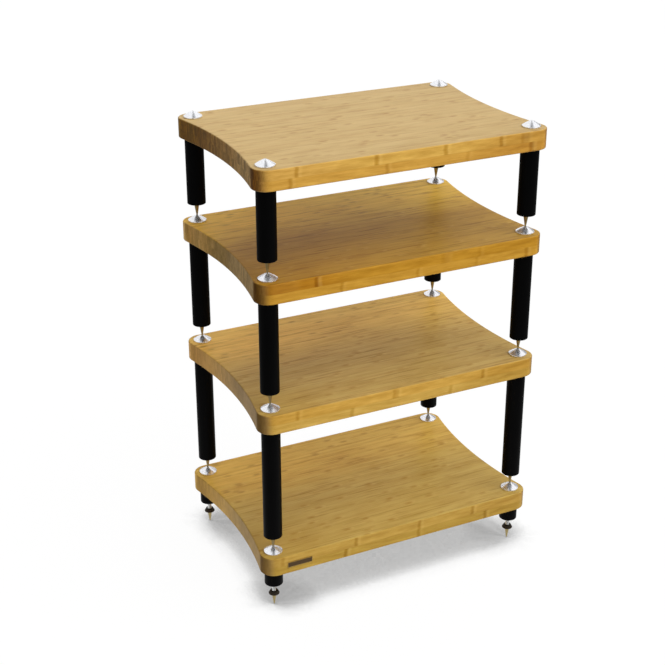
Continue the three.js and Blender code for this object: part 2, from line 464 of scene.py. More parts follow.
class Nodes:
    """A node tree, with short ways to write its nodes."""

    def __init__(self, tree):
        self.tree = tree

    def node(self, kind, **settings):
        made = self.tree.nodes.new("ShaderNode" + kind)
        for key, value in settings.items():
            setattr(made, key, value)
        return made

    def put(self, value, socket):
        if isinstance(value, bpy.types.NodeSocket):
            self.tree.links.new(value, socket)
        else:
            socket.default_value = value

    def math(self, operation, *values):
        made = self.node("Math", operation=operation)
        for value, socket in zip(values, made.inputs):
            self.put(value, socket)
        return made.outputs[0]

    def times(self, first, second):
        return self.math("MULTIPLY", first, second)

    def swayed(self, start, noise, amount):
        """The start, moved up and down by a noise."""
        return self.math("MULTIPLY_ADD", self.math("SUBTRACT", noise, 0.5), amount, start)

    def span(self, share, near, far):
        """Near where the share is whole, and far where it is nothing."""
        return self.math("MULTIPLY_ADD", share, near - far, far)

    def coordinates(self, kind):
        return self.node("TexCoord").outputs[kind]

    def parts(self, vector):
        made = self.node("SeparateXYZ")
        self.put(vector, made.inputs[0])
        return made.outputs[0], made.outputs[1], made.outputs[2]

    def joined(self, x, y, z):
        made = self.node("CombineXYZ")
        for value, socket in zip((x, y, z), made.inputs):
            self.put(value, socket)
        return made.outputs[0]

    def vector_math(self, operation, vector, other):
        made = self.node("VectorMath", operation=operation)
        self.put(vector, made.inputs[0])
        made.inputs[1].default_value = other
        return made

    def stretched(self, vector, shares):
        return self.vector_math("MULTIPLY", vector, shares).outputs[0]

    def toward(self, vector, direction):
        return self.vector_math("DOT_PRODUCT", vector, direction).outputs["Value"]

    def pool(self, place, inner, outer):
        """Share that is whole near a place and fades out from it."""
        away = self.vector_math("DISTANCE", self.coordinates("Object"), place).outputs["Value"]
        return self.fade(away, inner, outer, 1.0, 0.0)

    def ray_kinds(self):
        """Whether a ray comes from the camera, and whether it comes off something shiny or clear."""
        path = self.node("LightPath")
        mirrored = self.math("MAXIMUM", path.outputs["Is Glossy Ray"], path.outputs["Is Transmission Ray"])
        return path.outputs["Is Camera Ray"], mirrored

    def noise(self, vector, scale=1.0, detail=2.0, roughness=0.5):
        made = self.node("TexNoise")
        self.put(vector, made.inputs["Vector"])
        made.inputs["Scale"].default_value = scale
        made.inputs["Detail"].default_value = detail
        made.inputs["Roughness"].default_value = roughness
        return made.outputs[0]

    def chance(self, number):
        """One random number for each value of a number."""
        made = self.node("TexWhiteNoise", noise_dimensions="1D")
        self.put(number, made.inputs["W"])
        return made.outputs["Value"]

    def fade(self, value, start, end, first=0.0, last=1.0):
        """Goes smoothly from first to last as the value goes from start to end."""
        made = self.node("MapRange", interpolation_type="SMOOTHSTEP")
        for part, socket in zip((value, start, end, first, last), made.inputs):
            self.put(part, socket)
        return made.outputs[0]

    def mix(self, share, first, second, blend="MIX"):
        made = self.node("Mix", data_type="RGBA", blend_type=blend)
        self.put(share, made.inputs[0])
        self.put(first, made.inputs[6])
        self.put(second, made.inputs[7])
        return made.outputs[2]

    def between(self, share, tones):
        return self.mix(share, colour(*tones[0]), colour(*tones[1]))

    def tinted(self, tone, tint):
        """The tone, with its red, green and blue each multiplied."""
        return self.mix(1.0, tone, colour(*tint), "MULTIPLY")

    def toned(self, share, tone, tint):
        """The tone, tinted as far as the share says."""
        return self.mix(share, tone, self.tinted(tone, tint))


class Finish(Nodes):
    """A material of its own nodes round one shader."""

    def __init__(self, name, **settings):
        self.material = bpy.data.materials.new(name)
        self.material.use_nodes = True
        super().__init__(self.material.node_tree)
        self.shader = self.tree.nodes["Principled BSDF"]
        for key, value in settings.items():
            self.shader.inputs[key.replace("_", " ")].default_value = value

    def point(self):
        """The place on the piece, in millimetres from its own origin."""
        made = self.node("VectorMath", operation="SCALE")
        self.put(self.coordinates("Object"), made.inputs[0])
        made.inputs["Scale"].default_value = 1 / MM
        return made.outputs[0]

    def radial(self):
        """Distance from the piece's own axis, and height."""
        x, y, z = self.parts(self.point())
        squares = self.math("ADD", self.times(x, x), self.times(y, y))
        return self.math("SQRT", squares), z

    def paint(self, tone):
        self.put(tone, self.shader.inputs["Base Color"])

    def rough(self, share, least, spread):
        self.put(self.math("MULTIPLY_ADD", share, spread, least), self.shader.inputs["Roughness"])

    def bump(self, height, depth, strength):
        """Relief of a given depth in millimetres."""
        made = self.node("Bump")
        made.inputs["Strength"].default_value = strength
        made.inputs["Distance"].default_value = depth * MM
        self.put(height, made.inputs["Height"])
        self.put(made.outputs[0], self.shader.inputs["Normal"])


class BoardFinish(Finish):
    """Bamboo board of two layers of strips that stand on edge, lacquered."""

    def __init__(self, level):
        super().__init__(
            f"bamboo_{level}",
            Roughness=0.42,
            Specular_IOR_Level=GLOSS[level],
            Coat_Weight=0.05,
            Coat_Roughness=0.28,
        )
        self.level = level
        self.place = self.point()
        self.x, self.y, self.z = self.parts(self.place)
        self.find_facings()
        self.find_strips()
        self.fibres = self.grain(FIBRE_STRETCH, detail=4.0, roughness=0.7)
        self.pores = self.grain(PORE_STRETCH, roughness=0.6)
        wood = self.mix(self.broad, self.top_wood(), self.edge_wood())
        wood = self.lined(self.marked(wood))
        wood = self.mix(self.times(self.ends, END_SHARE), wood, self.end_wood())
        # Painted shade darkens the rounded front corners
        self.paint(self.toned(self.front_corners(), wood, CORNER_PAINTED_SHADE[level]))
        self.roughen()

    def grain(self, stretch, **settings):
        return self.noise(self.stretched(self.place, stretch), **settings)

    def find_facings(self):
        """How far a face looks to an end, to the front or back, and to the front alone."""
        aside, self.backward, _ = self.parts(self.coordinates("Normal"))
        self.aside = self.math("ABSOLUTE", aside)
        self.ends = self.fade(self.aside, *ENDS_FADE)
        self.broad = self.fade(self.math("ABSOLUTE", self.backward), *BROAD_FADE)
        self.front = self.fade(self.backward, *FRONT_FADE)

    def find_strips(self):
        """Layer and number of the strip, place across it, and two random numbers of its own."""
        self.upper = self.math("GREATER_THAN", self.z, THICK / 2)
        across = self.math("MULTIPLY_ADD", self.upper, STRIP_STAGGER, self.y)
        across = self.math("DIVIDE", across, STRIP_WIDTH)
        strip = self.math("FLOOR", across)
        self.within = self.math("SUBTRACT", self.math("SUBTRACT", across, strip), 0.5)
        number = self.math("MULTIPLY_ADD", self.upper, LAYER_KEY, strip)
        self.number = self.math("ADD", number, SEEDS[self.level])
        self.tint = self.chance(self.number)
        self.second = self.chance(self.math("ADD", self.number, SECOND_KEY))

    def top_wood(self):
        """Strips, fibres and streaks of the top, in the board's tone with painted shade, lighter at the
        back with painted light
        """
        lane = self.times(self.number, LANE_KEY)
        drift = self.noise(self.joined(self.times(self.x, DRIFT_STRETCH), lane, 0.0))
        patches = self.grain(PATCH_STRETCH)
        streaks = self.grain(STREAK_STRETCH, roughness=0.6)
        share = self.math("MULTIPLY_ADD", self.tint, STRIP_SHARE, PLAIN_SHARE)
        share = self.swayed(share, drift, DRIFT_SHARE)
        share = self.swayed(share, patches, PATCH_SHARE)
        share = self.swayed(share, self.fibres, FIBRE_SHARE)
        share = self.swayed(share, self.pores, PORE_SHARE)
        share = self.math("ADD", share, self.fade(streaks, *DARKER_FADE, 0.0, DARKER_SHARE))
        light = self.between(self.second, LIGHT_TONES)
        dark = self.between(self.second, DARK_TONES)
        streak = self.fade(streaks, *STREAK_FADE, 0.0, STREAKS[self.level])
        wood = self.mix(streak, self.mix(share, light, dark), colour(*STREAK_TONE))
        # The board's own tone, with painted shade where the board above darkens the lower tops
        wood = self.tinted(wood, TOP_TONE_AND_SHADE[self.level])
        # Painted light: the back of each lower top is lighter, as if lit from behind
        back = self.times(self.fade(self.x, *BACK_ASIDE), self.fade(self.y, *BACK_REACH))
        wood = self.toned(back, wood, BACK_PAINTED_LIGHT[self.level])
        near = self.times(self.fade(self.x, *NEAR_ASIDE), self.fade(self.y, *NEAR_REACH))
        wood = self.toned(near, wood, NEAR_TONES[self.level])
        return self.toned(self.fade(self.x, *FAR_ASIDE), wood, FAR_TONES[self.level])

    def edge_wood(self):
        """Broad grain of the front and back edges. Where it is darker it is also redder."""
        blotches = self.grain(BLOTCH_STRETCH, detail=3.0, roughness=0.6)
        grain = self.swayed(1.0, self.fibres, EDGE_FIBRE_SHARE)
        grain = self.swayed(grain, self.pores, EDGE_PORE_SHARE)
        grain = self.swayed(grain, blotches, EDGE_BLOTCH_SHARE)
        green = self.math("POWER", grain, GREEN_POWER)
        blue = self.math("POWER", grain, BLUE_POWER)
        plain = self.between(self.upper, EDGE_TONES[self.level])
        wood = self.mix(1.0, plain, self.joined(grain, green, blue), "MULTIPLY")
        # Painted shade: the front's right end is darker
        right = self.times(self.front, self.fade(self.x, *RIGHT_REACH))
        wood = self.toned(right, wood, RIGHT_PAINTED_SHADE[self.level])
        left = self.times(self.front, self.fade(self.x, *LEFT_REACH))
        left = self.times(left, self.upper)
        return self.toned(left, wood, LEFT_TONES[self.level])

    def knuckles(self):
        """Shares of the knuckles and of the pale rings beside them, at random places along each strip."""
        cells = self.math("DIVIDE", self.x, KNUCKLE_PITCH)
        cells = self.math("ADD", cells, self.times(self.second, CELL_SPREAD))
        cell = self.math("FLOOR", cells)
        key = self.math("MULTIPLY_ADD", cell, CELL_KEY, self.times(self.number, STRIP_KEY))
        place = self.math("MULTIPLY_ADD", self.chance(key), PLACE_SPREAD, PLACE_LEAST)
        bow = self.times(self.times(self.within, self.within), KNUCKLE_BOW)
        apart = self.math("SUBTRACT", self.math("SUBTRACT", cells, cell), place)
        apart = self.math("MULTIPLY_ADD", apart, KNUCKLE_PITCH, bow)
        apart = self.swayed(apart, self.grain(RAGGED_STRETCH), RAGGED_REACH)
        dark = self.fade(self.math("ABSOLUTE", apart), *KNUCKLE_FADE)
        beside = self.math("ABSOLUTE", self.math("SUBTRACT", apart, RING_ASIDE))
        pale = self.fade(beside, *RING_FADE)
        strength = self.chance(self.math("ADD", key, STRENGTH_KEY))
        strength = self.math("MULTIPLY_ADD", strength, STRENGTH_SPREAD, STRENGTH_LEAST)
        return self.times(dark, strength), self.times(pale, strength)

    def band(self, along, marks):
        """Dark share along an edge. A mark is its middle, its width, its softness and its strength."""
        made = self.node("ValToRGB")
        self.put(self.math("MULTIPLY_ADD", along, 1 / BOARD_WIDTH, 0.5), made.inputs[0])
        stops = []
        for middle, width, soft, strength in sorted(marks):
            stops.append((middle - width / 2 - soft, 0.0))
            stops.append((middle - width / 2, strength))
            stops.append((middle + width / 2, strength))
            stops.append((middle + width / 2 + soft, 0.0))
        ramp = made.color_ramp
        ramp.interpolation = "EASE"
        while len(ramp.elements) < len(stops):
            ramp.elements.new(1.0)
        for element, (place, level) in zip(ramp.elements, stops):
            element.position = place / BOARD_WIDTH + 0.5
            element.color = colour(level, level, level)
        return made.outputs[0]

    def bands(self, along):
        lower, upper = [self.band(along, marks) for marks in EDGE_MARKS[self.level]]
        return self.mix(self.upper, lower, upper)

    def marked(self, wood):
        """Node marks: random ones, and on the front edge the board's own."""
        plain, plain_ring = self.knuckles()
        waver = self.grain(WAVER_STRETCH, detail=1.0)
        along = self.math("SUBTRACT", self.x, WAVER_REACH / 2)
        along = self.math("MULTIPLY_ADD", waver, WAVER_REACH, along)
        dark = self.mix(self.front, plain, self.bands(along))
        ring = self.mix(self.front, plain_ring, self.bands(self.math("SUBTRACT", along, EDGE_RING_ASIDE)))
        dark = self.times(dark, self.fade(self.broad, 0.0, 1.0, *MARK_SHARES))
        mark_tone = self.mix(self.broad, colour(*TOP_MARK_TONE), self.tinted(wood, EDGE_MARK_TINT))
        wood = self.mix(dark, wood, mark_tone)
        return self.mix(self.times(ring, RING_SHARE), wood, colour(*RING_TONE))

    def lined(self, wood):
        """Glue lines between the layers and between the strips."""
        from_middle = self.math("ABSOLUTE", self.math("SUBTRACT", self.z, THICK / 2))
        layer_line = self.times(self.fade(from_middle, *LAYER_LINE_FADE), LAYER_LINE_SHARE)
        strip_line = self.fade(self.math("ABSOLUTE", self.within), *STRIP_LINE_FADE)
        self.strip_line = self.times(strip_line, STRIP_LINE_SHARE)
        return self.mix(self.math("MAXIMUM", layer_line, self.strip_line), wood, colour(*LINE_TONE))

    def end_wood(self):
        """End grain of the strips, with painted light that changes from the front to the back"""
        contrast = END_CONTRAST[self.level]
        dots = self.grain(END_STRETCH, detail=3.0, roughness=0.7)
        wood = self.between(self.fade(dots, *END_DOTS_FADE, 0.0, contrast), END_GRAIN_TONES)
        tint = self.math("MULTIPLY_ADD", self.tint, -2 * END_TINT * contrast, 1 + END_TINT * contrast)
        wood = self.mix(1.0, wood, self.joined(tint, tint, tint), "MULTIPLY")
        # Painted light: the end grain is lighter on the lower boards, and darker at the top board's back
        front_tone, back_tone = END_PAINTED_LIGHT[self.level]
        to_back = self.fade(self.y, *END_CHANGES[self.level])
        wood = self.mix(to_back, self.tinted(wood, front_tone), self.tinted(wood, back_tone))
        near = self.fade(self.y, *NEAR_CHANGES[self.level])
        near = self.times(near, self.fade(self.y, *NEAR_STOPS))
        wood = self.toned(near, wood, END_NEAR_PAINTED_LIGHT[self.level])
        return self.toned(self.fade(self.y, *END_FAR_REACH), wood, END_FAR_PAINTED_LIGHT[self.level])

    def front_corners(self):
        """Share of the rounded front corners, where painted shade goes"""
        forward = self.fade(self.backward, *CORNER_FORWARD)
        forward = self.math("MAXIMUM", forward, self.fade(self.y, *CORNER_REACH))
        return self.times(self.fade(self.aside, *CORNER_ASIDE), forward)

    def roughen(self):
        plain = self.math("MULTIPLY_ADD", self.fibres, FIBRE_ROUGHNESS, LEAST_ROUGHNESS)
        self.rough(self.ends, least=plain, spread=END_ROUGHNESS)
        relief = self.times(self.math("ADD", self.pores, self.fibres), GRAIN_RELIEF)
        relief = self.math("SUBTRACT", relief, self.times(self.strip_line, LINE_RELIEF))
        self.bump(relief, depth=0.06, strength=0.6)


def black_satin():
    finish = Finish("black_satin", Specular_IOR_Level=0.03, Metallic=0.0)
    cloud = finish.noise(finish.stretched(finish.point(), BLACK_STRETCH))
    pebbles = finish.noise(finish.point(), scale=1.4, detail=3.0, roughness=0.6)
    finish.paint(finish.between(cloud, BLACK_TONES))
    finish.rough(cloud, least=0.36, spread=0.10)
    finish.bump(pebbles, depth=0.03, strength=0.35)
    return finish.material


def turned_metal(name, tones, metallic, rough, anisotropy, pitch, by_height=False):
    """Metal with the fine circles that a lathe leaves."""
    finish = Finish(name, Metallic=metallic, Anisotropic=anisotropy, Anisotropic_Rotation=ANISOTROPY_TURN)
    radius, height = finish.radial()
    run = height if by_height else radius
    waves = finish.math("SINE", finish.times(run, 2 * math.pi / pitch))
    uneven = finish.noise(finish.joined(finish.times(run, UNEVEN_STRETCH), 0.0, 0.0))
    cloud = finish.noise(finish.point(), scale=0.12, detail=3.0, roughness=0.6)
    share = finish.times(finish.math("ADD", uneven, cloud), 0.5)
    finish.paint(finish.between(share, tones))
    finish.rough(share, least=rough - METAL_SPREAD / 2, spread=METAL_SPREAD)
    tangent = finish.node("Tangent", direction_type="RADIAL", axis="Z")
    finish.put(tangent.outputs[0], finish.shader.inputs["Tangent"])
    relief = finish.times(waves, 1 - UNEVEN_SHARE)
    relief = finish.math("MULTIPLY_ADD", uneven, UNEVEN_SHARE, relief)
    finish.bump(relief, depth=0.01, strength=0.5)
    return finish.material


def thread_steel():
    finish = Finish("thread_steel", Metallic=1.0)
    dull = finish.noise(finish.point(), scale=0.5, detail=3.0, roughness=0.6)
    finish.paint(finish.between(dull, STEEL_TONES))
    finish.rough(dull, least=0.22, spread=0.25)
    finish.bump(finish.noise(finish.point(), scale=3.0), depth=0.01, strength=0.3)
    return finish.material


def dark_collar():
    """Dark metal, a little paler where it is wider, towards its bottom"""
    finish = Finish("dark_collar", Metallic=0.55, Specular_IOR_Level=0.3)
    radius, _ = finish.radial()
    cloud = finish.noise(finish.point(), scale=0.25, detail=3.0, roughness=0.6)
    paler_wide = finish.fade(radius, COLLAR_TOP - RIDGE_DEPTH, COLLAR_BOTTOM, 0.0, WIDE_PALE_SHARE)
    share = finish.math("MULTIPLY_ADD", cloud, CLOUD_SHARE, paler_wide)
    finish.paint(finish.between(share, COLLAR_TONES))
    finish.rough(cloud, least=0.32, spread=0.20)
    finish.bump(finish.noise(finish.point(), scale=2.0), depth=0.02, strength=0.3)
    return finish.material


def badge_finish(width, height):
    """Brushed brass rim round a dark bronze blank field."""
    finish = Finish("badge_plate", Metallic=1.0)
    x, _, z = finish.parts(finish.point())
    out_x = finish.math("SUBTRACT", finish.math("ABSOLUTE", x), width / 2 - BADGE_RIM)
    out_z = finish.math("SUBTRACT", finish.math("ABSOLUTE", z), height / 2 - BADGE_RIM)
    rim = finish.fade(finish.math("MAXIMUM", out_x, out_z), -BADGE_BLEND, 0.0)
    brushed = finish.noise(finish.stretched(finish.point(), BRUSHED_STRETCH), detail=3.0, roughness=0.6)
    field = finish.between(brushed, FIELD_TONES)
    finish.paint(finish.mix(rim, field, finish.between(brushed, RIM_TONES)))
    finish.rough(brushed, least=0.28, spread=0.25)
    finish.bump(brushed, depth=0.01, strength=0.4)
    return finish.material


# Where things stand, from the frame
low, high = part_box("top_shelf")
BOARD_WIDTH = (high.x - low.x) / MM
THICK = (high.z - low.z) / MM
AXES = {}
for corner in CORNERS:
    low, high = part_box(f"top_disc_{corner}")
    AXES[corner] = ((low.x + high.x) / 2 / MM, (low.y + high.y) / 2 / MM)

# Node marks on the front edges, as (middle, width, softness, strength), lower band then upper band
EDGE_MARKS = {
    "top": (
        [(-238, 3, 4, 0.7), (-50, 3, 4, 0.6), (115, 3, 4, 0.35), (252, 5, 5, 0.9)],
        [(-226, 3, 4, 0.8), (-71, 4, 4, 0.85), (69, 4, 4, 0.8), (186, 4, 4, 0.8), (238, 12, 6, 0.6)],
    ),
    "middle": (
        [(-138, 3, 4, 0.5), (18, 3, 4, 0.5), (144, 3, 4, 0.3), (255, 4, 4, 0.7)],
        [(-258, 36, 20, 0.30), (-188, 4, 4, 1.0), (76, 6, 10, 0.40), (150, 3, 4, 0.3)],
    ),
    "lower": (
        [(-116, 3, 4, 0.5), (98, 3, 4, 0.45)],
        [(-229, 3, 4, 0.6), (-23, 8, 5, 0.65), (171, 4, 4, 0.7)],
    ),
    "base": (
        [(-127, 4, 4, 0.9), (36, 3, 4, 0.6), (193, 4, 4, 0.8)],
        [(-263, 3, 4, 0.4), (-105, 4, 4, 0.7), (38, 3, 4, 0.7), (162, 4, 4, 0.7)],
    ),
}

# Tones of the front edges, lower band then upper band
EDGE_TONES = {
    "top": ((0.544, 0.291, 0.045), (0.576, 0.332, 0.061)),
    "middle": ((0.474, 0.244, 0.028), (0.424, 0.206, 0.017)),
    "lower": ((0.478, 0.290, 0.058), (0.495, 0.282, 0.050)),
    "base": ((0.333, 0.204, 0.032), (0.370, 0.223, 0.041)),
}

# Tones of the boards, with light and shade painted in: the tops, each board's own tone with painted
# # shade from the board above; the tops' back parts, lighter with painted light from behind; their left
# # front corners and right halves; the fronts' right ends, darker with painted shade; the left ends of the
# # fronts' upper bands; and the end grain at the front and at the back, painted light that is lighter on
# the
# # lower boards, with painted shade at the top board's back
TOP_TONE_AND_SHADE = {
    "top": (0.775, 0.768, 0.785),
    "middle": (0.610, 0.465, 0.130),
    "lower": (0.735, 0.715, 0.560),
    "base": (0.705, 0.700, 0.480),
}
BACK_PAINTED_LIGHT = {
    "top": (1.00, 1.00, 1.00),
    "middle": (2.05, 2.35, 2.20),
    "lower": (1.78, 1.65, 1.13),
    "base": (1.53, 1.40, 0.97),
}
NEAR_TONES = {
    "top": (1.00, 1.00, 1.00),
    "middle": (0.92, 0.88, 0.60),
    "lower": (0.95, 0.91, 0.72),
    "base": (0.92, 0.87, 0.72),
}
FAR_TONES = {
    "top": (1.00, 1.00, 1.00),
    "middle": (1.08, 1.18, 1.50),
    "lower": (0.97, 0.97, 0.94),
    "base": (1.00, 1.00, 1.00),
}
RIGHT_PAINTED_SHADE = {
    "top": (0.84, 0.76, 0.62),
    "middle": (0.98, 0.98, 0.94),
    "lower": (0.84, 0.80, 0.66),
    "base": (0.94, 0.91, 0.84),
}
LEFT_TONES = {
    "top": (0.97, 0.94, 1.00),
    "middle": (0.87, 0.76, 0.55),
    "lower": (0.94, 0.92, 0.84),
    "base": (1.00, 1.00, 1.00),
}
END_PAINTED_LIGHT = {
    "top": ((1.15, 1.12, 1.20), (0.60, 0.47, 0.19)),
    "middle": ((0.83, 0.98, 1.42), (1.62, 1.82, 2.51)),
    "lower": ((0.94, 1.11, 2.02), (1.66, 1.74, 2.27)),
    "base": ((0.86, 1.02, 1.64), (1.31, 1.42, 1.43)),
}

# Gloss, share of dark streaks in the tops, and how much the dark fibre ends stand out in the end grain
GLOSS = {"top": 0.15, "middle": 0.06, "lower": 0.08, "base": 0.08}
STREAKS = {"top": 0.10, "middle": 0.55, "lower": 0.40, "base": 0.28}
END_CONTRAST = {"top": 1.0, "middle": 0.55, "lower": 0.28, "base": 0.28}

# Where the end grain's painted light changes from its front tone to its back tone, and where to the tone
# # of its front stretch, and then the painted light of its front and back stretches
END_CHANGES = dict.fromkeys(LEVELS, (-60.0, 120.0)) | {"middle": (30.0, 110.0)}
NEAR_CHANGES = dict.fromkeys(LEVELS, (-20.0, -110.0)) | {"middle": (15.0, -45.0)}
END_NEAR_PAINTED_LIGHT = {
    "top": (1.24, 1.45, 2.00),
    "middle": (1.47, 1.55, 1.90),
    "lower": (1.14, 1.17, 1.28),
    "base": (1.09, 1.07, 0.96),
}
END_FAR_PAINTED_LIGHT = {
    "top": (1.33, 1.57, 1.00),
    "middle": (1.31, 1.42, 1.72),
    "lower": (1.17, 1.17, 1.27),
    "base": (1.02, 1.05, 1.03),
}

# Painted shade of the rounded front corners, where the end grain begins
CORNER_PAINTED_SHADE = {
    "top": (0.40, 0.27, 0.03),
    "middle": (0.39, 0.26, 0.02),
    "lower": (0.39, 0.31, 0.10),
    "base": (0.40, 0.32, 0.12),
}

# Numbers that give each board its own random strips
SEEDS = {"top": 11.0, "middle": 233.0, "lower": 457.0, "base": 691.0}

# Finishes that many pieces share
BLACK = black_satin()
STEEL = thread_steel()
COLLAR = dark_collar()
DISC_METAL = turned_metal(
    "turned_aluminium",
    tones=((0.93, 0.94, 0.97), (0.84, 0.85, 0.89)),
    metallic=0.85,
    rough=0.23,
    anisotropy=0.75,
    pitch=0.5,
)
BRASS = turned_metal(
    "brass",
    tones=((0.41, 0.325, 0.150), (0.28, 0.215, 0.090)),
    metallic=0.9,
    rough=0.30,
    anisotropy=0.35,
    pitch=0.6,
    by_height=True,
)


# Turned parts and the badge


def leg_profile(radius, length, plug):
    round_up = [(radius - LEG_ROUND * (1 - out), LEG_ROUND * up) for out, up in quarter(ROUND_STEPS)]
    top = []
    for out, up in quarter(LEG_TOP_STEPS)[::-1]:
        top.append((radius - LEG_TOP_ROUND * (1 - out), length - LEG_TOP_ROUND * up))
    outside = [(BORE_RADIUS, 0.0)] + round_up + top + [(BORE_RADIUS, length)]
    inside = []
    if plug:
        hollow = radius - LEG_WALL
        inside = [(BORE_RADIUS, length - plug), (hollow, length - plug)]
        inside += [(hollow, plug), (BORE_RADIUS, plug)]
    return held(outside) + inside


def disc_profile(radius, height, stud):
    crown = []
    inner = radius - DISC_SHOULDER
    foot = DISC_RIM + DISC_SHOULDER * SHOULDER_RISE_SHARE
    for i in range(CROWN_STEPS + 1):
        share = i / CROWN_STEPS
        out = inner + (DIMPLE_MOUTH + DISC_EDGE - inner) * share
        up = foot + (height - foot) * share + DISC_CROWN * math.sin(math.pi * share)
        crown.append((out, up))
    return [
        (0.0, -stud),
        (THREAD_RADIUS - DISC_EDGE, -stud),
        (THREAD_RADIUS, DISC_EDGE - stud),
        (THREAD_RADIUS, 0.0),
        (radius - DISC_EDGE, 0.0),
        (radius, DISC_EDGE),
        (radius, DISC_RIM - DISC_EDGE),
        (radius - DISC_EDGE / EDGE_PARTS, DISC_RIM),
        *crown,
        (DIMPLE_MOUTH, height - DISC_EDGE),
        (DIMPLE_FLOOR, height - DIMPLE_DEPTH),
        (0.0, height - DIMPLE_DEPTH),
    ]


def cone_profile(radius):
    tip = []
    for out, up in quarter(TIP_STEPS):
        tip.append((TIP_RADIUS * out, TIP_RADIUS * TIP_RISE_SHARE * up))
    return tip + [
        (radius - CONE_EDGE / EDGE_PARTS, CONE_LENGTH - CONE_SHOULDER - CONE_EDGE),
        (radius, CONE_LENGTH - CONE_SHOULDER),
        (radius, CONE_LENGTH - CONE_EDGE),
        (radius - CONE_EDGE, CONE_LENGTH),
        (0.0, CONE_LENGTH),
    ]


def make_thread(name, bottom, top, finish):
    """A threaded rod between two heights: rows of points whose radius follows the thread."""
    step = THREAD_PITCH / THREAD_ROWS
    count = max(2, round((top - bottom) / step))
    heights = [bottom + (top - bottom) * i / count for i in range(count + 1)]

    def follow(radius, height, angle):
        turn = (height / THREAD_PITCH - angle / (2 * math.pi)) % 1.0
        slope = abs(2 * turn - 1)
        crest = min(1.0, slope / (1 - THREAD_CREST_SHARE))
        fade_in = min(1.0, (top - height) / THREAD_PITCH)
        return THREAD_ROOT + (THREAD_RADIUS - THREAD_ROOT) * crest * fade_in

    profile = [(0.0, bottom)] + [(THREAD_RADIUS, height) for height in heights] + [(0.0, top)]
    return turned(name, profile, THREAD_SIDES, finish, shape=follow)


def ridge_span(height):
    """Where a collar's ridges begin and end."""
    return COLLAR_ROUND + COLLAR_LIP, height - COLLAR_LIP


def collar_profile(height):
    points = [(BORE_RADIUS, 0.0)]
    for out, up in quarter(ROUND_STEPS):
        points.append((COLLAR_BOTTOM - COLLAR_ROUND * (1 - out), COLLAR_ROUND * up))

    def side(z):
        share = (z - COLLAR_ROUND) / (height - COLLAR_ROUND)
        return COLLAR_BOTTOM + (COLLAR_TOP - COLLAR_BOTTOM) * share

    low, high = ridge_span(height)
    heights = [low - COLLAR_EDGE, low, high, high + COLLAR_EDGE, height - COLLAR_EDGE]
    points += [(side(z), z) for z in heights]
    points.append((side(height) - COLLAR_EDGE, height))
    points.append((BORE_RADIUS, height))
    return points


def make_collar(name, height, finish):
    low, high = ridge_span(height)

    def ridged(radius, z, angle):
        if not low <= z <= high:
            return radius
        wave = (1 + math.cos(angle * RIDGE_COUNT)) / 2
        return radius - RIDGE_DEPTH * (1 - wave**RIDGE_POWER)

    sides = RIDGE_COUNT * RIDGE_POINTS
    return turned(name, collar_profile(height), sides, finish, closed=True, shape=ridged)


def make_badge(name, width, height, thick, finish):
    """A blank plate with a raised rim, its back in the XZ plane and its face towards -Y."""

    def ring(inset, depth):
        corner = max(BADGE_CORNER - inset, BADGE_LEAST_CORNER)
        points = []
        for middle_x, middle_z, start in ((1, 1, 0), (-1, 1, 90), (-1, -1, 180), (1, -1, 270)):
            for i in range(BADGE_CORNER_STEPS + 1):
                angle = math.radians(start + 90 * i / BADGE_CORNER_STEPS)
                x = middle_x * (width / 2 - inset - corner) + corner * math.cos(angle)
                z = middle_z * (height / 2 - inset - corner) + corner * math.sin(angle)
                points.append((x, -depth, z))
        return points

    rings = [
        ring(0.0, 0.0),
        ring(0.0, thick - BADGE_EDGE),
        ring(BADGE_EDGE / EDGE_PARTS, thick - BADGE_EDGE / EDGE_PARTS),
        ring(BADGE_EDGE, thick),
        ring(BADGE_RIM - BADGE_EDGE, thick),
        ring(BADGE_RIM, thick - BADGE_RECESS),
    ]
    points = [point for outline in rings for point in outline]
    count = len(rings[0])
    faces = [tuple(range(count))[::-1]]
    for k in range(len(rings) - 1):
        for i in range(count):
            j = (i + 1) % count
            a = k * count + i
            b = k * count + j
            faces.append((a, b, b + count, a + count))
    last = (len(rings) - 1) * count
    faces.append(tuple(range(last, last + count)))
    return make_piece(name, points, faces, finish)


# Pieces in their places


def sides_of(node):
    """Width, depth and height of a node."""
    low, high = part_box(node)
    return [(b - a) / MM for a, b in zip(low, high)]


def dress_level(level):
    """Shelf, discs, and for the upper levels legs and spikes."""
    body = f"{level}_module"
    shelf = make_board(f"{level}_shelf_board", f"{level}_shelf", BoardFinish(level).material)
    settle(shelf, f"{level}_shelf", body)
    for corner in CORNERS:
        dress_disc(f"{level}_disc_{corner}", body)
        if level != "base":
            dress_tube(f"{level}_leg_{corner}", body, LEG_PLUG)
            dress_spike(f"{level}_spike_{corner}", body)


def dress_disc(node, body):
    width, _, height = sides_of(node)
    profile = disc_profile(width / 2, DISC_HEIGHT, height - DISC_HEIGHT)
    disc = turned(f"{node}_turned", profile, DISC_SIDES, DISC_METAL)
    settle(disc, node, body, foot=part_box(node)[1].z - DISC_HEIGHT * MM)


def dress_tube(node, body, plug):
    """A leg with a plug of that length at each end, or with none a foot sleeve, solid round its bore."""
    width, _, height = sides_of(node)
    tube = turned(f"{node}_tube", leg_profile(width / 2, height, plug), LEG_SIDES, BLACK, closed=True)
    settle(tube, node, body)


def dress_spike(node, body):
    """A brass cone, and the threaded rod that stands in it."""
    width, _, height = sides_of(node)
    cone = turned(f"{node}_cone", cone_profile(width / 2), CONE_SIDES, BRASS)
    settle(cone, node, body)
    rod = make_thread(f"{node}_thread", CONE_LENGTH, height, STEEL)
    settle(rod, node, body)


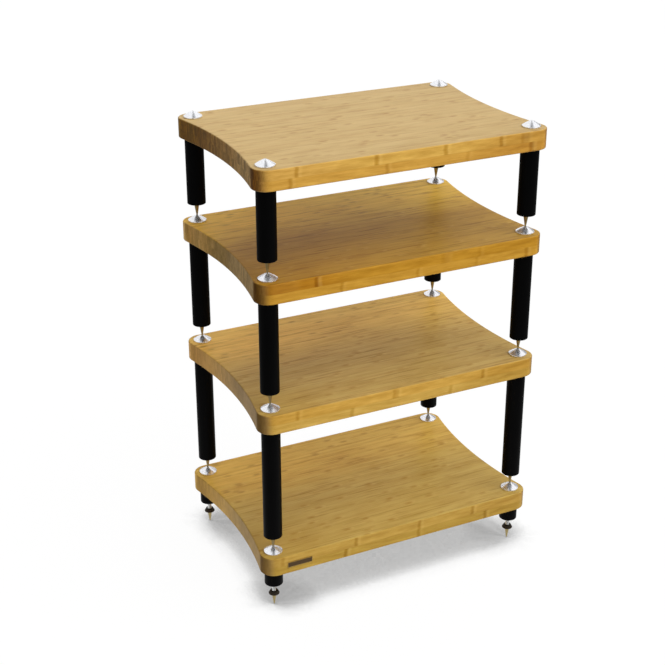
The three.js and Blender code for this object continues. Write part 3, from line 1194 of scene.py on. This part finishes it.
def dress_foot(corner):
    """Floor spike, its collar and the sleeve that it screws into."""
    dress_spike(f"foot_spike_{corner}", f"{corner}_floor_spike")
    node = f"foot_collar_{corner}"
    collar = make_collar(f"{node}_knurled", sides_of(node)[2], COLLAR)
    settle(collar, node, f"{corner}_collar")
    dress_tube(f"foot_sleeve_{corner}", "base_module", 0.0)


def dress_badge():
    low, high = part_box("badge_plate")
    width, thick, height = sides_of("badge_plate")
    badge = make_badge("badge_plate_blank", width, height, thick, badge_finish(width, height))
    badge.location = ((low.x + high.x) / 2, high.y, (low.z + high.z) / 2)
    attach(badge, "base_module")
    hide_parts("badge_plate")


# Surroundings


def make_floor():
    half = FLOOR_SIZE / 2
    mesh = bpy.data.meshes.new("floor")
    corners = [(-half, -half, 0), (half, -half, 0), (half, half, 0), (-half, half, 0)]
    mesh.from_pydata(corners, [], [(0, 1, 2, 3)])
    mesh.materials.append(floor_finish())
    floor = bpy.data.objects.new("floor", mesh)
    bpy.context.scene.collection.objects.link(floor)
    floor.location.z = -FLOOR_DROP


def floor_finish():
    """White floor with a painted shade round the feet, that gives most light back near the rack"""
    material = bpy.data.materials.new("floor")
    material.use_nodes = True
    material.cycles.emission_sampling = "NONE"
    nodes = Nodes(material.node_tree)
    nodes.tree.nodes.clear()
    pool = nodes.pool(MIDDLE_PLACE, POOL_INNER, POOL_OUTER)
    seen, mirrored = nodes.ray_kinds()
    other = nodes.math("SUBTRACT", 1.0, nodes.math("MAXIMUM", seen, mirrored))

    bounce = nodes.times(other, nodes.span(pool, POOL_BOUNCE, FAR_BOUNCE))
    matt_level = nodes.math("MULTIPLY_ADD", seen, SHADOW_SHARE, bounce)

    # Painted shade: to the camera the floor darkens where the rack is near, from ambient occlusion
    shade = nodes.node("AmbientOcclusion")
    shade.inputs["Distance"].default_value = SHADE_REACH
    nodes.put(nodes.joined(*Vector(SHADE_LEAN).normalized()), shade.inputs["Normal"])
    painted_shade_level = nodes.fade(shade.outputs["AO"], 1 - SHADE_FULL, 1 - SHADE_STARTS, 1 - SHADE_DEPTH, 1.0)
    painted_shade_level = nodes.times(painted_shade_level, 1 - SHADOW_SHARE)
    shine = nodes.times(mirrored, nodes.span(pool, POOL_MIRROR, FAR_MIRROR))
    from_left = nodes.times(other, nodes.pool(LEFT_PLACE, LEFT_INNER, LEFT_OUTER))
    glow_level = nodes.math("MULTIPLY_ADD", seen, painted_shade_level, shine)
    glow_level = nodes.math("MULTIPLY_ADD", from_left, LEFT_BOUNCE, glow_level)

    tone = nodes.node("CombineColor")
    for socket in tone.inputs[:3]:
        nodes.put(matt_level, socket)
    matt = nodes.node("BsdfDiffuse")
    nodes.put(tone.outputs[0], matt.inputs["Color"])
    glow = nodes.node("Emission")
    nodes.put(glow_level, glow.inputs["Strength"])
    both = nodes.node("AddShader")
    nodes.put(matt.outputs[0], both.inputs[0])
    nodes.put(glow.outputs[0], both.inputs[1])
    nodes.put(both.outputs[0], nodes.node("OutputMaterial").inputs["Surface"])
    return material


def soft_light(nodes, where):
    """A wide light from the front right above, a lower one from behind, and a little from everywhere."""
    facing = nodes.math("MAXIMUM", nodes.toward(where, KEY_DIRECTION), 0.0)
    front = nodes.math("MULTIPLY_ADD", nodes.times(facing, facing), KEY_LEVEL, FILL_LEVEL)
    facing_back = nodes.math("MAXIMUM", nodes.toward(where, BACK_DIRECTION), 0.0)
    return nodes.math("MULTIPLY_ADD", nodes.math("POWER", facing_back, BACK_FOCUS), BACK_LEVEL, front)


def surround(nodes, where):
    """What the metal shows: white, with a dark band overhead and a dimmer part low on the right."""
    x, _, z = nodes.parts(where)
    aside = nodes.math("SUBTRACT", nodes.toward(where, BAND_ASIDE), BAND_SHIFT)
    near_band = nodes.fade(nodes.math("ABSOLUTE", aside), BAND_SOFT, BAND_HALF)
    above = nodes.fade(nodes.math("SUBTRACT", z, nodes.toward(where, BAND_BEYOND)), *BAND_RISE)
    band = nodes.math("MULTIPLY_ADD", nodes.times(near_band, above), BAND_LEVEL - 1, 1.0)
    right_low = nodes.times(nodes.fade(x, *DIM_RIGHT), nodes.fade(z, *DIM_LOW))
    return nodes.times(band, nodes.math("MULTIPLY_ADD", right_low, -DIM_SHARE, 1.0))


def make_studio():
    """Studio world that is white to the camera, whatever it sends to the rack."""
    world = bpy.data.worlds.new("studio")
    bpy.context.scene.world = world
    world.use_nodes = True
    world.cycles.sampling_method = "NONE"
    nodes = Nodes(world.node_tree)
    nodes.tree.nodes.clear()
    where = nodes.coordinates("Generated")
    seen, mirrored = nodes.ray_kinds()
    soft = nodes.times(soft_light(nodes, where), nodes.math("SUBTRACT", 1.0, mirrored))
    level = nodes.math("MULTIPLY_ADD", surround(nodes, where), mirrored, soft)
    level = nodes.math("ADD", nodes.times(level, nodes.math("SUBTRACT", 1.0, seen)), seen)
    background = nodes.node("Background")
    background.inputs["Color"].default_value = colour(*WHITE)
    nodes.put(level, background.inputs["Strength"])
    nodes.put(background.outputs[0], nodes.node("OutputWorld").inputs["Surface"])


def make_camera():
    data = bpy.data.cameras.new("camera")
    data.lens = CAMERA_LENS
    data.sensor_width = SENSOR_WIDTH
    data.clip_start = CAMERA_NEAR * MM
    data.clip_end = CAMERA_FAR * MM
    camera = bpy.data.objects.new("camera", data)
    camera.location = [c * MM for c in CAMERA_PLACE]
    camera.rotation_euler = (math.radians(CAMERA_TILT), 0.0, math.radians(CAMERA_TURN))
    bpy.context.scene.collection.objects.link(camera)
    bpy.context.scene.camera = camera


for level in LEVELS:
    dress_level(level)
for corner in CORNERS:
    dress_foot(corner)
dress_badge()
make_floor()
make_studio()
make_camera()
bpy.context.scene.view_settings.view_transform = "Standard"
